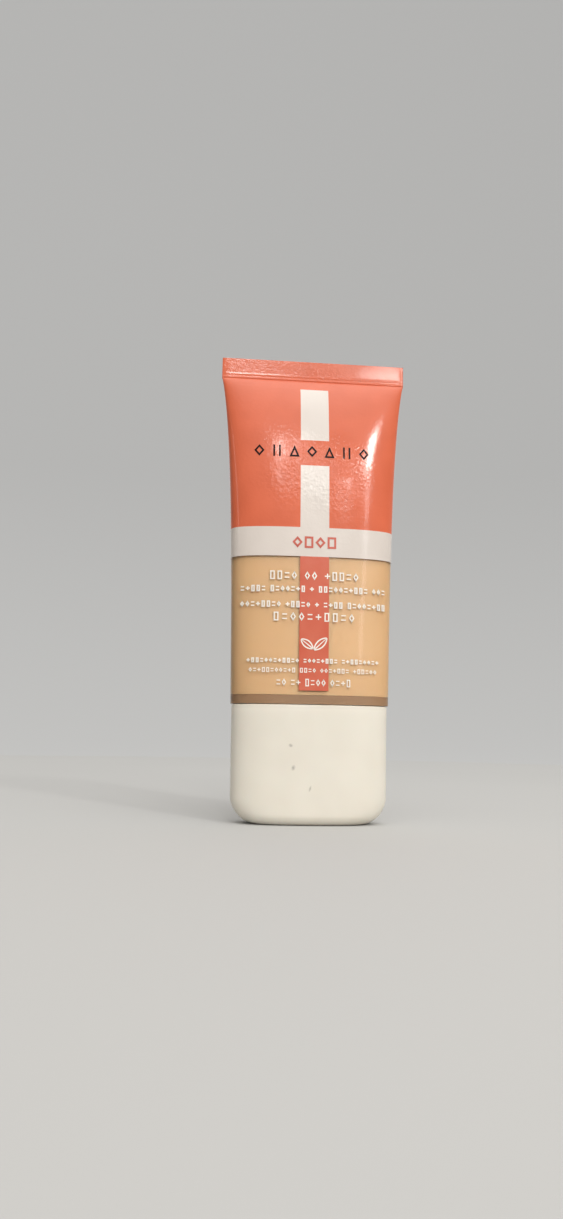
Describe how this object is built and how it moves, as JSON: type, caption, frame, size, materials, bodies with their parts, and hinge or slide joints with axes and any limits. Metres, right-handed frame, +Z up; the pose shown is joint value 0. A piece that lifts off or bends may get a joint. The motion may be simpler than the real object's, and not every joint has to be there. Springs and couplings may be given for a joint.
{
  "type": "squeeze tube",
  "caption": "Oval clear-walled cosmetic squeeze tube with a flat crimped end, printed colour blocks and a tall white oval screw cap that it stands on.",
  "frame": {"origin": "centre of the cap's flat end, which the tube stands on", "axes": "+Z up the tube to its crimp, +X along the wide side of the oval, the printed front faces -Y"},
  "size_m": [0.0472, 0.0163, 0.1166],
  "materials": {
    "cap_plastic": "satin white polypropylene",
    "liner_plastic": "plain white polypropylene",
    "foam": "pale closed-cell foam",
    "natural_plastic": "milky polyethylene with foundation behind it",
    "nozzle_plastic": "milky polyethylene",
    "clear_plastic": "clear soft polyethylene with a gloss",
    "cream": "smooth tan liquid foundation",
    "coral_ink": "satin coral printing with a fine grain",
    "white_ink": "satin warm white printing",
    "stripe_ink": "coral printing over the clear wall",
    "dark_ink": "thin dark printing"
  },
  "bodies": {
    "cap": {"cap_shell": "cap_plastic", "cap_liner": "liner_plastic", "seal_wad": "foam"},
    "nozzle": {"nozzle_insert": "nozzle_plastic"},
    "tube": {"tube_head": "natural_plastic", "tube_sleeve": "clear_plastic", "foundation_cream": "cream", "coral_print": "coral_ink", "white_print": "white_ink", "lower_stripe_print": "stripe_ink", "title_marks": "dark_ink", "band_marks": "coral_ink", "line_marks": "white_ink", "leaf_mark": "white_ink", "back_marks": "white_ink"}
  },
  "joints": [
    {"name": "lift", "type": "slide", "parent": "cap", "child": "nozzle", "axis": [0, 0, 1], "range_m": [0, 0.0201]},
    {"name": "unscrew", "type": "hinge", "parent": "nozzle", "child": "tube", "pos_m": [0, 0, 0], "axis": [0, 0, 1], "range_deg": [0, 1440]}
  ],
  "couplings": [
    {"joint": "lift", "follows": "unscrew", "m_per_rad": 0.00079577}
  ]
}
